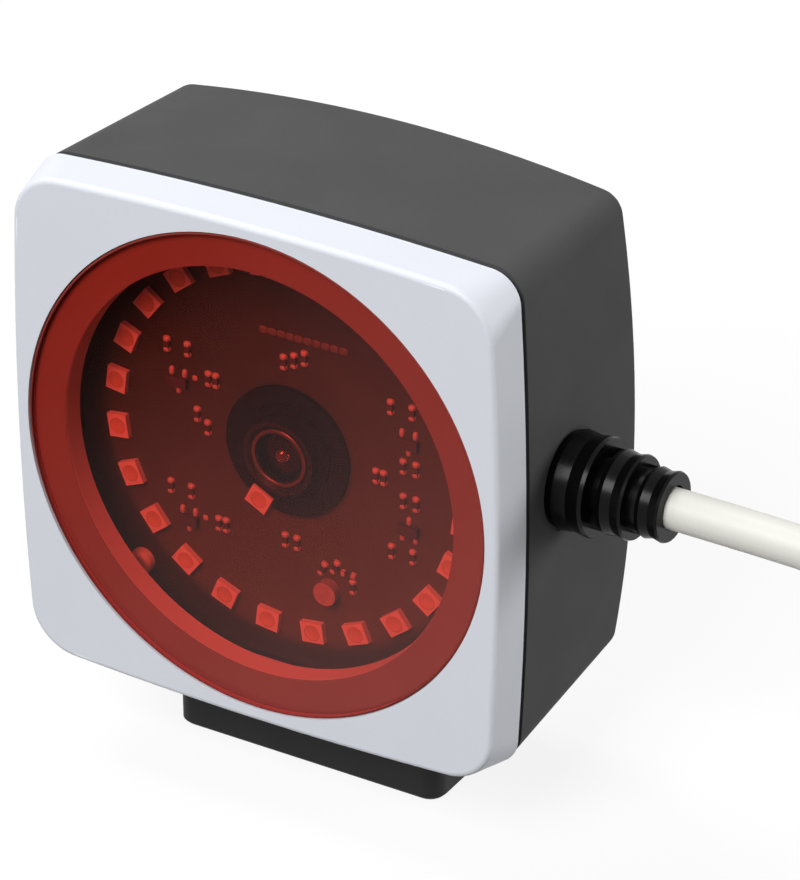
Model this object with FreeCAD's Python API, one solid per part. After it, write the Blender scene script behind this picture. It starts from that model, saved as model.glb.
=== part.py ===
import FreeCAD, Part
import math
import os
from FreeCAD import Vector

# Optical reading head: a camera behind a round red window with a ring of lamps, in a two-part housing
# on a bolted foot, with a moulded-on bend relief and a lead that ends in a round screw connector.
# Millimetres. X to the right, Y to the back, Z up. The origin is the middle of the foot's underside.
# A place in the head is given as x, depth behind the bezel's front plane, and height over the lens axis.

# Head, measured from the lens axis to its side at the seam, and the foot under it
HEAD_HALF = 35.0
FOOT_HIGH = 11.0
FOOT_WIDTH = 39.2
FOOT_SETBACK = 11.2
FOOT_BACK_INSET = 0.9
FOOT_CORNER = 2.4
FOOT_EDGE = 0.5
FOOT_PAD_STEP = 1.2
FOOT_PAD_MARGIN = 0.6

# White front bezel
BEZEL_DRAFT = 0.4
BEZEL_DEPTH = 6.2
BEZEL_BOW = 1.15
BEZEL_CORNER_FRONT = 7.0
BEZEL_CORNER_SEAM = 4.2
BEZEL_EDGE = 0.7
BEZEL_SKIRT = 3.7
LEDGE_DEPTH = 1.2
LEDGE_THICK = 3.0
LEDGE_WIDTH = 4.85
SPIGOT_LENGTH = 2.8
SPIGOT_GAP = 0.3

# Red window and the grey tape ring that holds it
WINDOW_MARGIN = 2.25
WINDOW_RECESS = 0.15
WINDOW_GAP = 0.1
WINDOW_BED = 0.03
WINDOW_EDGE = 0.2
SEAL_THICK = 0.15
SEAL_INSET = 0.05

# Black rear housing and the gasket in the seam
GASKET_THICK = 1.2
GASKET_INSET = 0.6
GASKET_WIDTH = 1.4
HOUSING_STEP = 0.2
HOUSING_DRAFT = 0.3
HOUSING_BOW_BACK = 2.65
HOUSING_CORNER_SEAM = 4.0
HOUSING_CORNER_BACK = 3.2
HOUSING_BACK = 34.9
HOUSING_WALL = 2.0
HOUSING_EDGE = 1.0

# Screws. A screw's thread fills its hole but for the thread gap
THREAD_GAP = 0.05
CASE_SCREW_INSET = 7.7
CASE_SCREW_RADIUS = 1.25
CASE_SCREW_HEAD = 2.3
CASE_SCREW_HEAD_HIGH = 1.8
CASE_SCREW_SINK = 3.0
CASE_SCREW_BITE = 6.0
CASE_TUBE_RADIUS = 3.2
CLEARANCE_HOLE = 0.2
SCREW_RECESS = 0.55
FOOT_SCREW_INSET = 4.0
FOOT_SCREW_RADIUS = 1.5
FOOT_SCREW_HEAD = 2.75
FOOT_SCREW_HEAD_HIGH = 2.4
FOOT_SCREW_SINK = 3.2
FOOT_SCREW_BITE = 5.5
FOOT_BOSS_RADIUS = 3.4
INSERT_SPACING = 20.0
INSERT_RADIUS = 2.8
INSERT_BORE = 1.65
INSERT_COVER = 3.0

# Lamp board behind the window
LAMP_BOARD_DEPTH = 8.9
LAMP_BOARD_RIM = 2.53
LAMP_BOARD_GAP = 0.7
BOARD_THICK = 1.6
LAMP_COUNT = 24
LAMP_RING_INSET = 2.7
LAMP_LENGTH = 3.2
LAMP_WIDTH = 2.8
LAMP_HIGH = 0.8
LAMP_CUP_RADIUS = 1.15
LAMP_CUP_DEPTH = 0.35
AIM_LAMP_GAP = 1.4
AIM_LAMP_ANGLE = 242.0
CHIP_LENGTH = 1.6
CHIP_WIDTH = 0.8
CHIP_HIGH = 0.4
CHIP_PAIR = 1.1
TRANSISTOR_LENGTH = 2.9
TRANSISTOR_WIDTH = 1.3
TRANSISTOR_HIGH = 0.8
TRANSISTOR_LEAD = 0.5
TRANSISTOR_LEAD_REACH = 0.6
TRANSISTOR_LEAD_PITCH = 1.9
CAPACITOR_RADIUS = 1.6
CAPACITOR_HIGH = 1.4

# Places of the small parts on the lamp board: x and height as shares of the lamp ring's radius, then the turn
CORNER_CHIPS = [(0.70, 0.40), (0.58, 0.40)]
SINGLE_CHIPS = [
    (-0.532, 0.052, 0),
    (-0.472, -0.008, 0),
    (0.648, 0.092, 0),
    (0.720, 0.092, 0),
    (0.648, -0.100, 0),
    (0.720, -0.100, 0),
    (-0.032, -0.516, 0),
    (0.036, -0.516, 0),
    (0.036, 0.504, 0),
    (0.096, 0.532, 0),
    (-0.024, 0.480, 0),
    (0.184, -0.616, -25),
    (0.256, -0.588, -25),
    (0.332, -0.608, 90),
    (0.356, -0.672, 0),
]
PAIRED_CHIPS = [(-0.440, 0.268), (-0.400, -0.536), (0.516, -0.004)]
TRANSISTORS = [(0.680, 0.228, 0), (0.680, -0.252, 180), (-0.638, 0.210, 0), (-0.597, -0.564, 0)]
CAPACITOR = (0.220, -0.730)

# Board stack: lamp board on standoffs, main board on bosses in the housing
BOARD_SCREW_INSET = 5.05
BOARD_SCREW_RADIUS = 1.25
BOARD_SCREW_HEAD = 1.7
BOARD_SCREW_HEAD_HIGH = 1.5
BOARD_SCREW_BITE = 4.0
LEAD_OVER_BOARD = 1.5
STANDOFF_ACROSS = 5.0
STANDOFF_STUD = 4.0
MAIN_BOARD_SIDE_GAP = 9.0
MAIN_BOARD_TOP_GAP = 9.5
MAIN_BOARD_CORNER = 4.0
BOARD_BOSS_RADIUS = 3.0
HEADER_WIDTH = 12.7
HEADER_HIGH = 5.0
HEADER_PLACE = 2.2
HEADER_RISE = 15.8
SENSOR_SIDE = 9.0
SENSOR_HIGH = 1.2
PROCESSOR_SIDE = 14.0
PROCESSOR_HIGH = 1.4
PROCESSOR_PLACE = 6.5
PROCESSOR_RISE = 9.0
MEMORY_GAP = 4.0
MEMORY_WIDTH = 8.0
MEMORY_HIGH_SIDE = 11.0

# Camera lens
HOLDER_BASE_SIDE = 18.0
HOLDER_BASE_HIGH = 4.5
HOLDER_CAVITY_SIDE = 13.0
HOLDER_CAVITY_HIGH = 3.0
HOLDER_RADIUS = 6.2
HOLDER_FRONT = 7.9
HOLDER_SCREW_PLACE = 7.6
HOLDER_SCREW_RADIUS = 0.8
HOLDER_SCREW_HEAD = 1.5
HOLDER_SCREW_HEAD_HIGH = 0.9
BARREL_RADIUS = 5.0
BARREL_FRONT = 6.0
BARREL_LENGTH = 9.3
BARREL_MOUTH = 4.5
BARREL_MOUTH_DEPTH = 0.8
LENS_RADIUS = 3.65
LENS_SAG = 0.8
LENS_THICK = 1.8
LENS_SPACING = 5.6
SHROUD_RADIUS = 8.8
SHROUD_HIGH = 0.8
SHROUD_DISH = 0.3
LENS_FIT_GAP = 0.1
NOTCH_GAP = 0.2

# Lead, its bend relief in the right-hand wall, and the plug inside
CABLE_RADIUS = 2.65
GLAND_HEIGHT = 1.7
GLAND_THREAD_RADIUS = 4.0
GLAND_THREAD_LENGTH = 6.5
GLAND_BELL_RADIUS = 6.4
GLAND_BELL_LENGTH = 5.1
GLAND_CORE_RADIUS = 3.9
GLAND_WAIST = 0.28
GLAND_GROOVE = 1.3
GLAND_RING_RADIUS = 5.4
GLAND_RING_LENGTH = 3.5
GLAND_COLLAR_RADIUS = 4.5
GLAND_COLLAR_LENGTH = 3.2
GLAND_WEB = 1.8
GLAND_WEB_ANGLE = -50.0
CABLE_GAP = 0.15
NUT_ACROSS = 11.0
NUT_LENGTH = 3.8
NUT_GAP = 0.65
CABLE_TAIL_INSIDE = 1.5
WIRE_RADIUS = 0.55
WIRE_CIRCLE = 1.25
PLUG_LENGTH = 5.0
PLUG_THICK = 4.0
PLUG_HIGH = 9.0
SOCKET_GAP = 0.5
SOCKET_LENGTH = 6.0
SOCKET_THICK = 5.5
SOCKET_HIGH = 11.0

# Lead: after the bend relief it falls in one long S onto a tied hank, and its end lies inside the hank
LEAD_FREE_ROUTE = [
    (80.0, -5.1, 47.8),
    (99.0, -10.5, 36.0),
    (116.0, -17.0, 25.5),
    (136.0, -21.8, 19.0),
    (158.0, -23.1, 15.6),
    (174.0, -23.1, 13.25),
]
LEAD_STRAIGHT = 4.0
HANK_START = 70.0
HANK_RUN = 92.0
HANK_FOLD = 16.5
HANK_TURNS_A_LAYER = 2
HANK_LAYERS = 3
HANK_ROUNDING = 2.0
TAIL_ALONG = [13.0, 30.0, 48.0]
TAIL_ASIDE = [1.5, 9.5, 12.3]
TAIL_RISE = 0.6
TIE_WIDTH = 4.5
TIE_THICK = 1.0
TIE_GAP = 0.2
TIE_HEAD = 6.0
TIE_HEAD_HIGH = 4.0

# Round screw connector on the far end, measured from the lead's entry towards the contacts
CONNECTOR_REACH = 3.0
CONNECTOR_TAPER = 6.0
CONNECTOR_TAPER_RADIUS = 3.9
CONNECTOR_SHOULDER = 5.4
GRIP_RADIUS = 7.5
GRIP_LENGTH = 20.0
GRIP_EDGE = 0.8
GRIP_FLUTES = 10
GRIP_FLUTE_DEPTH = 0.6
NECK_RADIUS = 5.4
NECK_LENGTH = 4.0
NECK_FLANGE_RADIUS = 6.1
NECK_FLANGE = 1.2
CARRIER_RADIUS = 4.2
CARRIER_LENGTH = 5.0
CONTACT_COUNT = 4
CONTACT_RADIUS = 0.5
CONTACT_CIRCLE = 2.2
CONTACT_LENGTH = 5.0
CONNECTOR_SEAL = 0.9
COUPLING_RADIUS = 7.3
COUPLING_LENGTH = 16.0
COUPLING_LIP = 3.2
COUPLING_BORE = 5.5
COUPLING_RELIEF = 3.0
COUPLING_GAP = 0.3
COUPLING_FLUTES = 18
COUPLING_FLUTE_DEPTH = 0.45

# Worked out from the sizes above
BEZEL_HALF_FRONT = HEAD_HALF - BEZEL_DRAFT
HOUSING_HALF_SEAM = HEAD_HALF - HOUSING_STEP
HOUSING_HALF_BACK = HOUSING_HALF_SEAM - HOUSING_DRAFT
FOOT_LENGTH = HOUSING_BACK - FOOT_BACK_INSET - FOOT_SETBACK
FOOT_SCREW_SPACING = FOOT_LENGTH - 2 * FOOT_SCREW_INSET
FOOT_PAD_DROP = HOUSING_HALF_SEAM + FOOT_PAD_STEP
AXIS_HEIGHT = FOOT_HIGH + FOOT_PAD_DROP
INSERT_LENGTH = FOOT_HIGH - INSERT_COVER
FRONT_Y = -(FOOT_SETBACK + FOOT_LENGTH / 2)
SEAM_DEPTH = BEZEL_DEPTH + GASKET_THICK
WINDOW_RADIUS = HEAD_HALF - WINDOW_MARGIN
LEDGE_RADIUS = WINDOW_RADIUS - LEDGE_WIDTH
LEDGE_BACK = LEDGE_DEPTH + LEDGE_THICK
SPIGOT_HALF = HOUSING_HALF_SEAM - HOUSING_WALL - SPIGOT_GAP
SPIGOT_INNER = HEAD_HALF - BEZEL_SKIRT
SPIGOT_END = BEZEL_DEPTH + SPIGOT_LENGTH
INNER_BACK = HOUSING_BACK - HOUSING_WALL
LAMP_BOARD_BACK = LAMP_BOARD_DEPTH + BOARD_THICK
LAMP_BOARD_FLAT = SPIGOT_INNER - LAMP_BOARD_GAP
LAMP_RING_RADIUS = LEDGE_RADIUS - LAMP_RING_INSET
MAIN_BOARD_HALF_WIDTH = HEAD_HALF - MAIN_BOARD_SIDE_GAP
MAIN_BOARD_HALF_HIGH = HEAD_HALF - MAIN_BOARD_TOP_GAP
AIM_LAMP_RADIUS = HOLDER_RADIUS + LAMP_WIDTH / 2 + AIM_LAMP_GAP
SHROUD_FRONT = LAMP_BOARD_DEPTH - SHROUD_HIGH
GLAND_DEPTH = LAMP_BOARD_BACK + NUT_ACROSS / math.sqrt(3) + NUT_GAP
MAIN_BOARD_DEPTH = GLAND_DEPTH + LEAD_OVER_BOARD
STANDOFF_LENGTH = MAIN_BOARD_DEPTH - LAMP_BOARD_BACK
MAIN_BOARD_BACK = MAIN_BOARD_DEPTH + BOARD_THICK
CASE_SCREW_PLACE = HEAD_HALF - CASE_SCREW_INSET
BOARD_SCREW_PLACE = CASE_SCREW_PLACE - BOARD_SCREW_INSET
LAMP_BOARD_RADIUS = BOARD_SCREW_PLACE * math.sqrt(2) + LAMP_BOARD_RIM
CORNERS = [(-1, -1), (-1, 1), (1, -1), (1, 1)]
CASE_CORNERS = [(x * CASE_SCREW_PLACE, h * CASE_SCREW_PLACE) for x, h in CORNERS]
BOARD_CORNERS = [(x * BOARD_SCREW_PLACE, h * BOARD_SCREW_PLACE) for x, h in CORNERS]
CABLE_PITCH = 2 * CABLE_RADIUS
GLAND_SEAT = HOUSING_HALF_BACK
GLAND_END = GLAND_SEAT + GLAND_BELL_LENGTH + GLAND_RING_LENGTH + GLAND_COLLAR_LENGTH + 2 * GLAND_GROOVE
CABLE_START = GLAND_SEAT - GLAND_THREAD_LENGTH - CABLE_TAIL_INSIDE
SOCKET_START = HOLDER_BASE_SIDE / 2 + SOCKET_GAP
PLUG_START = SOCKET_START + SOCKET_LENGTH
WIRE_START = PLUG_START + PLUG_LENGTH
HANK_OUTER_FOLD = HANK_FOLD + (HANK_TURNS_A_LAYER - 1) * CABLE_PITCH
HANK_X = HANK_START + CABLE_RADIUS + HANK_OUTER_FOLD + HANK_RUN / 2
HANK_Y = LEAD_FREE_ROUTE[-1][1] + HANK_OUTER_FOLD
HANK_HIGH = HANK_LAYERS * CABLE_PITCH
TAIL_START = (HANK_X - HANK_RUN / 2, HANK_Y - HANK_FOLD, CABLE_RADIUS)
TAIL_HEIGHTS = [CABLE_RADIUS + TAIL_RISE, GRIP_RADIUS, GRIP_RADIUS]
TAIL_ROUTE = [TAIL_START]
TAIL_ROUTE += [(TAIL_START[0] + along, TAIL_START[1] + aside, high)
               for along, aside, high in zip(TAIL_ALONG, TAIL_ASIDE, TAIL_HEIGHTS)]


def spot(x, depth, height):
    """A point of the head from its x, its depth behind the bezel and its height over the lens axis."""
    return Vector(x, FRONT_Y + depth, AXIS_HEIGHT + height)


def rod(x, height, depth, end, radius):
    """A round bar along Y between two depths."""
    return Part.makeCylinder(radius, end - depth, spot(x, depth, height), Vector(0, 1, 0))


def block(x, width, depth, end, height, high):
    """A box between two depths, centred on x and height."""
    return Part.makeBox(width, end - depth, high, spot(x - width / 2, depth, height - high / 2))


def post(x, y, bottom, top, radius):
    """An upright round bar in the table's frame."""
    return Part.makeCylinder(radius, top - bottom, Vector(x, y, bottom), Vector(0, 0, 1))


def hexagon(centre, axis, across, length):
    """A six-sided bar from a point along an axis."""
    bar = Part.makeCylinder(across / math.sqrt(3), length, centre, axis)
    side = Vector(1, 0, 0) if abs(axis.z) > 0.5 else Vector(0, 0, 1)
    cutter_side = 2 * across
    for k in range(6):
        direction = FreeCAD.Rotation(axis, 60 * k + 30).multVec(side)
        across_dir = axis.cross(direction)
        corner = centre + direction * (across / 2) - across_dir * (cutter_side / 2)
        face = Part.makePolygon([
            corner,
            corner + across_dir * cutter_side,
            corner + across_dir * cutter_side + direction * across,
            corner + direction * across,
            corner,
        ])
        bar = bar.cut(Part.Face(face).extrude(axis * length))
    return bar


def turned(profile, base, axis, radial):
    """A solid of revolution from (along, radius) points, about the axis through base."""
    points = [base + axis * along + radial * radius for along, radius in profile]
    face = Part.Face(Part.makePolygon(points + points[:1]))
    return face.revolve(base, axis, 360)


def bowed_square(half, bow, corner, depth):
    """A square wire with sides that bow outwards, joined by tangent corner arcs, at a depth."""
    flat = half - bow
    side_radius = (flat ** 2 + bow ** 2) / (2 * bow)
    side_centre = half - side_radius
    corner_centre = (side_centre + math.sqrt(2 * (side_radius - corner) ** 2 - side_centre ** 2)) / 2
    reach = side_radius / (side_radius - corner)
    meet_x = side_centre + (corner_centre - side_centre) * reach
    meet_z = corner_centre * reach
    tip = corner_centre + corner / math.sqrt(2)
    quarter = [(meet_x, -meet_z), (half, 0), (meet_x, meet_z), (tip, tip), (meet_z, meet_x)]
    edges = []
    for turn in range(4):
        cos, sin = [(1, 0), (0, 1), (-1, 0), (0, -1)][turn]
        ring = [spot(x * cos - z * sin, depth, x * sin + z * cos) for x, z in quarter]
        edges.append(Part.Arc(ring[0], ring[1], ring[2]).toShape())
        edges.append(Part.Arc(ring[2], ring[3], ring[4]).toShape())
    return Part.Wire(edges)


def drafted(front, back):
    """A solid between two outlines at two depths."""
    return Part.makeLoft([front, back], True, True)


def at_depth(shape, depth):
    """The edges of a shape that lie in the plane at a depth."""
    plane = FRONT_Y + depth
    return [e for e in shape.Edges if all(abs(v.Point.y - plane) < 1e-6 for v in e.Vertexes)
            and abs(e.valueAt((e.FirstParameter + e.LastParameter) / 2).y - plane) < 1e-6]


def turn_about_axis(shape, angle):
    """Turn a shape about the lens axis, anticlockwise as seen from the front."""
    turned_shape = shape.copy()
    turned_shape.rotate(spot(0, 0, 0), Vector(0, -1, 0), angle)
    return turned_shape


def group(solids):
    """Several separate solids as one shape."""
    return Part.makeCompound(solids)


def housing_at(depth):
    """Half-size and bow of the housing's outside at a depth."""
    share = (depth - SEAM_DEPTH) / (HOUSING_BACK - SEAM_DEPTH)
    half = HOUSING_HALF_SEAM + share * (HOUSING_HALF_BACK - HOUSING_HALF_SEAM)
    bow = BEZEL_BOW + share * (HOUSING_BOW_BACK - BEZEL_BOW)
    corner = HOUSING_CORNER_SEAM + share * (HOUSING_CORNER_BACK - HOUSING_CORNER_SEAM)
    return half, bow, corner


def front_bezel():
    """Drafted white frame with the window's pocket, the ledge behind it and a spigot for the housing."""
    body = drafted(bowed_square(BEZEL_HALF_FRONT, BEZEL_BOW, BEZEL_CORNER_FRONT, 0),
                   bowed_square(HEAD_HALF, BEZEL_BOW, BEZEL_CORNER_SEAM, BEZEL_DEPTH))
    body = body.makeFillet(BEZEL_EDGE, at_depth(body, 0))
    spigot = drafted(bowed_square(SPIGOT_HALF, BEZEL_BOW, HOUSING_CORNER_SEAM, BEZEL_DEPTH),
                     bowed_square(SPIGOT_HALF, BEZEL_BOW, HOUSING_CORNER_SEAM, SPIGOT_END))
    inside = drafted(bowed_square(SPIGOT_INNER, BEZEL_BOW, HOUSING_CORNER_SEAM, LEDGE_BACK),
                     bowed_square(SPIGOT_INNER, BEZEL_BOW, HOUSING_CORNER_SEAM, SPIGOT_END))
    body = body.fuse(spigot).cut(inside)
    body = body.cut(rod(0, 0, 0, LEDGE_DEPTH, WINDOW_RADIUS + WINDOW_GAP))
    body = body.cut(rod(0, 0, 0, LEDGE_BACK, LEDGE_RADIUS))
    for x, h in CASE_CORNERS:
        body = body.fuse(rod(x, h, LEDGE_BACK, SPIGOT_END, CASE_TUBE_RADIUS))
        pilot = CASE_SCREW_RADIUS + THREAD_GAP
        body = body.cut(rod(x, h, SPIGOT_END - CASE_SCREW_BITE, SPIGOT_END, pilot))
    return body.removeSplitter()


def window():
    """Round red filter pane with broken edges, a little behind the bezel's face."""
    back = LEDGE_DEPTH - SEAL_THICK - WINDOW_BED
    pane = rod(0, 0, WINDOW_RECESS, back, WINDOW_RADIUS)
    return pane.makeChamfer(WINDOW_EDGE, [e for e in pane.Edges if e.Closed])


def window_seal():
    """Grey tape ring between the pane and the ledge."""
    ring = rod(0, 0, LEDGE_DEPTH - SEAL_THICK, LEDGE_DEPTH, WINDOW_RADIUS)
    return ring.cut(rod(0, 0, 0, LEDGE_DEPTH, LEDGE_RADIUS + SEAL_INSET))


def housing_gasket():
    """Flat frame of foam in the seam."""
    outer = HOUSING_HALF_SEAM - GASKET_INSET
    ring = drafted(bowed_square(outer, BEZEL_BOW, HOUSING_CORNER_SEAM, BEZEL_DEPTH),
                   bowed_square(outer, BEZEL_BOW, HOUSING_CORNER_SEAM, SEAM_DEPTH))
    inner = outer - GASKET_WIDTH
    hole = drafted(bowed_square(inner, BEZEL_BOW, HOUSING_CORNER_SEAM, BEZEL_DEPTH),
                   bowed_square(inner, BEZEL_BOW, HOUSING_CORNER_SEAM, SEAM_DEPTH))
    return ring.cut(hole)


def rear_housing():
    """Black tub whose sides bow more towards the back, with screw tubes, board bosses and the foot's pad."""
    half, bow, corner = housing_at(SEAM_DEPTH)
    half_back, bow_back, corner_back = housing_at(HOUSING_BACK)
    tub = drafted(bowed_square(half, bow, corner, SEAM_DEPTH),
                  bowed_square(half_back, bow_back, corner_back, HOUSING_BACK))
    tub = tub.makeFillet(HOUSING_EDGE, at_depth(tub, HOUSING_BACK))
    pad_front = FOOT_SETBACK + FOOT_PAD_MARGIN
    pad_back = FOOT_SETBACK + FOOT_LENGTH - FOOT_PAD_MARGIN
    pad_high = FOOT_PAD_DROP - HOUSING_HALF_BACK + HOUSING_WALL
    pad_wide = FOOT_WIDTH - 2 * FOOT_PAD_MARGIN
    pad = block(0, pad_wide, pad_front, pad_back, pad_high / 2 - FOOT_PAD_DROP, pad_high)
    tub = tub.fuse(pad)
    half_in, bow_in, corner_in = housing_at(INNER_BACK)
    cavity = drafted(bowed_square(half - HOUSING_WALL, bow, corner, SEAM_DEPTH),
                     bowed_square(half_in - HOUSING_WALL, bow_in, corner_in, INNER_BACK))
    tub = tub.cut(cavity)
    for x, h in CASE_CORNERS:
        tub = tub.fuse(rod(x, h, SPIGOT_END, INNER_BACK, CASE_TUBE_RADIUS))
    for x, h in BOARD_CORNERS:
        tub = tub.fuse(rod(x, h, MAIN_BOARD_BACK, INNER_BACK, BOARD_BOSS_RADIUS))
    for y in (-FOOT_SCREW_SPACING / 2, FOOT_SCREW_SPACING / 2):
        boss = post(0, y, FOOT_HIGH, FOOT_HIGH + FOOT_SCREW_BITE + 1, FOOT_BOSS_RADIUS)
        tub = tub.fuse(boss)
        tub = tub.cut(post(0, y, FOOT_HIGH, FOOT_HIGH + FOOT_SCREW_BITE, FOOT_SCREW_RADIUS + THREAD_GAP))
    for x, h in CASE_CORNERS:
        tub = tub.cut(rod(x, h, SPIGOT_END, HOUSING_BACK, CASE_SCREW_RADIUS + CLEARANCE_HOLE))
        sunk = HOUSING_BACK - CASE_SCREW_SINK
        tub = tub.cut(rod(x, h, sunk, HOUSING_BACK, CASE_SCREW_HEAD + CLEARANCE_HOLE))
    for x, h in BOARD_CORNERS:
        stud_end = MAIN_BOARD_BACK + STANDOFF_STUD
        tub = tub.cut(rod(x, h, MAIN_BOARD_BACK, stud_end, BOARD_SCREW_RADIUS + THREAD_GAP))
    seat = spot(GLAND_SEAT, GLAND_DEPTH, GLAND_HEIGHT)
    out = Vector(1, 0, 0)
    tub = tub.cut(Part.makeCylinder(GLAND_BELL_RADIUS + CLEARANCE_HOLE, HOUSING_WALL, seat, out))
    reach = 2 * HOUSING_WALL
    hole = Part.makeCylinder(GLAND_THREAD_RADIUS + CLEARANCE_HOLE, 2 * reach, seat - out * reach, out)
    return tub.cut(hole).removeSplitter()


def case_screws():
    """Four long screws from the back that pull the housing onto the bezel."""
    screws = []
    head = HOUSING_BACK - CASE_SCREW_SINK
    for x, h in CASE_CORNERS:
        screw = rod(x, h, SPIGOT_END - CASE_SCREW_BITE, head, CASE_SCREW_RADIUS)
        cap = rod(x, h, head, head + CASE_SCREW_HEAD_HIGH, CASE_SCREW_HEAD)
        key = CASE_SCREW_HEAD * SCREW_RECESS
        top = spot(x, head + CASE_SCREW_HEAD_HIGH / 2, h)
        cap = cap.cut(hexagon(top, Vector(0, 1, 0), 2 * key, CASE_SCREW_HEAD_HIGH))
        screws.append(screw.fuse(cap).removeSplitter())
    return group(screws)


def mounting_foot():
    """Block under the housing, with sunk screws up into it and holes for the threaded inserts."""
    foot = Part.makeBox(FOOT_WIDTH, FOOT_LENGTH, FOOT_HIGH, Vector(-FOOT_WIDTH / 2, -FOOT_LENGTH / 2, 0))
    upright = [e for e in foot.Edges if abs(e.Vertexes[0].Z - e.Vertexes[1].Z) > FOOT_HIGH / 2]
    foot = foot.makeFillet(FOOT_CORNER, upright)
    under = [e for e in foot.Edges if all(abs(v.Z) < 1e-6 for v in e.Vertexes)]
    foot = foot.makeChamfer(FOOT_EDGE, under)
    for y in (-FOOT_SCREW_SPACING / 2, FOOT_SCREW_SPACING / 2):
        foot = foot.cut(post(0, y, 0, FOOT_HIGH, FOOT_SCREW_RADIUS + CLEARANCE_HOLE))
        foot = foot.cut(post(0, y, 0, FOOT_SCREW_SINK, FOOT_SCREW_HEAD + CLEARANCE_HOLE))
    for x in (-INSERT_SPACING / 2, INSERT_SPACING / 2):
        foot = foot.cut(post(x, 0, 0, INSERT_LENGTH, INSERT_RADIUS))
    return foot


def foot_screws():
    """Two socket screws that hold the foot to the housing."""
    screws = []
    for y in (-FOOT_SCREW_SPACING / 2, FOOT_SCREW_SPACING / 2):
        shank = post(0, y, FOOT_SCREW_SINK, FOOT_HIGH + FOOT_SCREW_BITE, FOOT_SCREW_RADIUS)
        low = FOOT_SCREW_SINK - FOOT_SCREW_HEAD_HIGH
        cap = post(0, y, low, FOOT_SCREW_SINK, FOOT_SCREW_HEAD)
        key = 2 * FOOT_SCREW_HEAD * SCREW_RECESS
        socket = hexagon(Vector(0, y, low), Vector(0, 0, 1), key, FOOT_SCREW_HEAD_HIGH / 2)
        screws.append(shank.fuse(cap.cut(socket)).removeSplitter())
    return group(screws)


def foot_inserts():
    """Two brass threaded inserts pressed into the foot from below."""
    inserts = []
    for x in (-INSERT_SPACING / 2, INSERT_SPACING / 2):
        sleeve = post(x, 0, 0, INSERT_LENGTH, INSERT_RADIUS)
        inserts.append(sleeve.cut(post(x, 0, 0, INSERT_LENGTH, INSERT_BORE)))
    return group(inserts)


def lamp_board():
    """Round circuit board with four flats, a hole for the lens and four screw holes."""
    board = rod(0, 0, LAMP_BOARD_DEPTH, LAMP_BOARD_BACK, LAMP_BOARD_RADIUS)
    side = 2 * LAMP_BOARD_FLAT
    board = board.common(block(0, side, LAMP_BOARD_DEPTH, LAMP_BOARD_BACK, 0, side))
    board = board.cut(rod(0, 0, LAMP_BOARD_DEPTH, LAMP_BOARD_BACK, HOLDER_RADIUS + CLEARANCE_HOLE))
    for x, h in BOARD_CORNERS:
        board = board.cut(rod(x, h, LAMP_BOARD_DEPTH, LAMP_BOARD_BACK, BOARD_SCREW_RADIUS + CLEARANCE_HOLE))
    return board


def lamp(radius):
    """One square lamp package with a round cup, at a radius to the right of the lens axis."""
    front = LAMP_BOARD_DEPTH - LAMP_HIGH
    body = block(radius, LAMP_WIDTH, front, LAMP_BOARD_DEPTH, 0, LAMP_LENGTH)
    return body.cut(rod(radius, 0, front, front + LAMP_CUP_DEPTH, LAMP_CUP_RADIUS))


def ring_lamps():
    """The ring of lamps, each turned to face the lens axis."""
    pitch = 360 / LAMP_COUNT
    return group([turn_about_axis(lamp(LAMP_RING_RADIUS), pitch * (k + 0.5)) for k in range(LAMP_COUNT)])


def aiming_lamp():
    """The single lamp beside the lens."""
    return turn_about_axis(lamp(AIM_LAMP_RADIUS), AIM_LAMP_ANGLE)


def chip(x, height, angle):
    """One chip resistor on the lamp board, upright and then turned about its own middle."""
    body = block(x, CHIP_WIDTH, LAMP_BOARD_DEPTH - CHIP_HIGH, LAMP_BOARD_DEPTH, height, CHIP_LENGTH)
    body.rotate(spot(x, LAMP_BOARD_DEPTH, height), Vector(0, -1, 0), angle)
    return body


def chip_resistors():
    """Resistors of the lamp drivers: four corner pairs, side groups, and a small cluster below the lens."""
    ring = LAMP_RING_RADIUS
    places = [(side * x * ring, end * h * ring, 0) for side, end in CORNERS for x, h in CORNER_CHIPS]
    places += [(x * ring, h * ring, angle) for x, h, angle in SINGLE_CHIPS]
    for x, h in PAIRED_CHIPS:
        places += [(x * ring + side * CHIP_PAIR / 2, h * ring, 0) for side in (-1, 1)]
    return group([chip(*place) for place in places])


def transistor(x, height, angle):
    """A three-leaded driver transistor: two leads at its top, one below, turned about its middle."""
    front = LAMP_BOARD_DEPTH - TRANSISTOR_HIGH
    body = block(x, TRANSISTOR_LENGTH, front, LAMP_BOARD_DEPTH, height, TRANSISTOR_WIDTH)
    reach = TRANSISTOR_WIDTH / 2 + TRANSISTOR_LEAD_REACH / 2
    leads = [(-TRANSISTOR_LEAD_PITCH / 2, reach), (TRANSISTOR_LEAD_PITCH / 2, reach), (0, -reach)]
    for dx, dh in leads:
        lead = block(x + dx, TRANSISTOR_LEAD, LAMP_BOARD_DEPTH - TRANSISTOR_LEAD / 2, LAMP_BOARD_DEPTH,
                     height + dh, TRANSISTOR_LEAD_REACH)
        body = body.fuse(lead)
    body.rotate(spot(x, LAMP_BOARD_DEPTH, height), Vector(0, -1, 0), angle)
    return body.removeSplitter()


def driver_transistors():
    """One transistor for each quarter of the lamp ring."""
    ring = LAMP_RING_RADIUS
    return group([transistor(x * ring, h * ring, angle) for x, h, angle in TRANSISTORS])


def smoothing_capacitor():
    """Small round capacitor below the lens."""
    x, h = [share * LAMP_RING_RADIUS for share in CAPACITOR]
    return rod(x, h, LAMP_BOARD_DEPTH - CAPACITOR_HIGH, LAMP_BOARD_DEPTH, CAPACITOR_RADIUS)


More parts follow.
